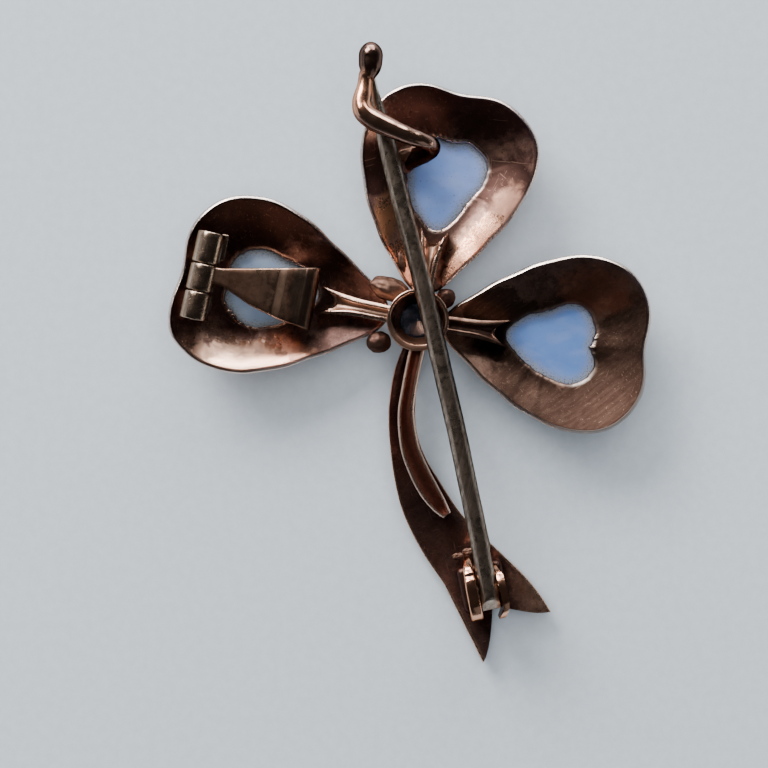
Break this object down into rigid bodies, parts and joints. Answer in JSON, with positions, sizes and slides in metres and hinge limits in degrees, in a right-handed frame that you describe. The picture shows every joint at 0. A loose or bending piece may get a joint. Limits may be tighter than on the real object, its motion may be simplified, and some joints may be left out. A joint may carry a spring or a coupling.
{
  "type": "clover brooch",
  "caption": "Clover brooch with heart-shaped stones, modelled from its back: long hinged pin, wire catch with a ball end, forked ribbon stem and a fold-down pendant bail.",
  "frame": {"origin": "Middle of the bounding box in X and Y, at the height of the table the brooch lies on.", "axes": "The brooch lies face down with its back to +Z. +Y runs from the stem to the top leaf and the ball of the catch, +X to the right as the back is looked at."},
  "size_m": [0.025, 0.0322, 0.0057],
  "materials": {
    "rose_gold": "worn rose gold with dark red-brown tarnish and bright rims",
    "yellow_gold": "polished yellow gold, finely scratched and a little dull",
    "moonstone": "polished milky blue-white stone",
    "dark_stone": "polished dark blue-black stone"
  },
  "bodies": {
    "brooch": {"frame": "rose_gold", "moonstone_top": "moonstone", "moonstone_left": "moonstone", "moonstone_right": "moonstone", "centre_stone": "dark_stone", "pin_rivet": "yellow_gold", "bail_rivet": "yellow_gold"},
    "pin": {"pin_stem": "yellow_gold"},
    "pendant_bail": {"bail": "yellow_gold"}
  },
  "joints": [
    {"name": "pin_swing", "type": "hinge", "parent": "brooch", "child": "pin", "pos_m": [0.0041, -0.01199, 0.0032], "axis": [0.975, 0.2222, 0], "range_deg": [0, 100]},
    {"name": "bail_swing", "type": "hinge", "parent": "brooch", "child": "pendant_bail", "pos_m": [-0.01085, 0.00415, 0.00345], "axis": [-0.2188, -0.9758, 0], "range_deg": [0, 175]}
  ]
}
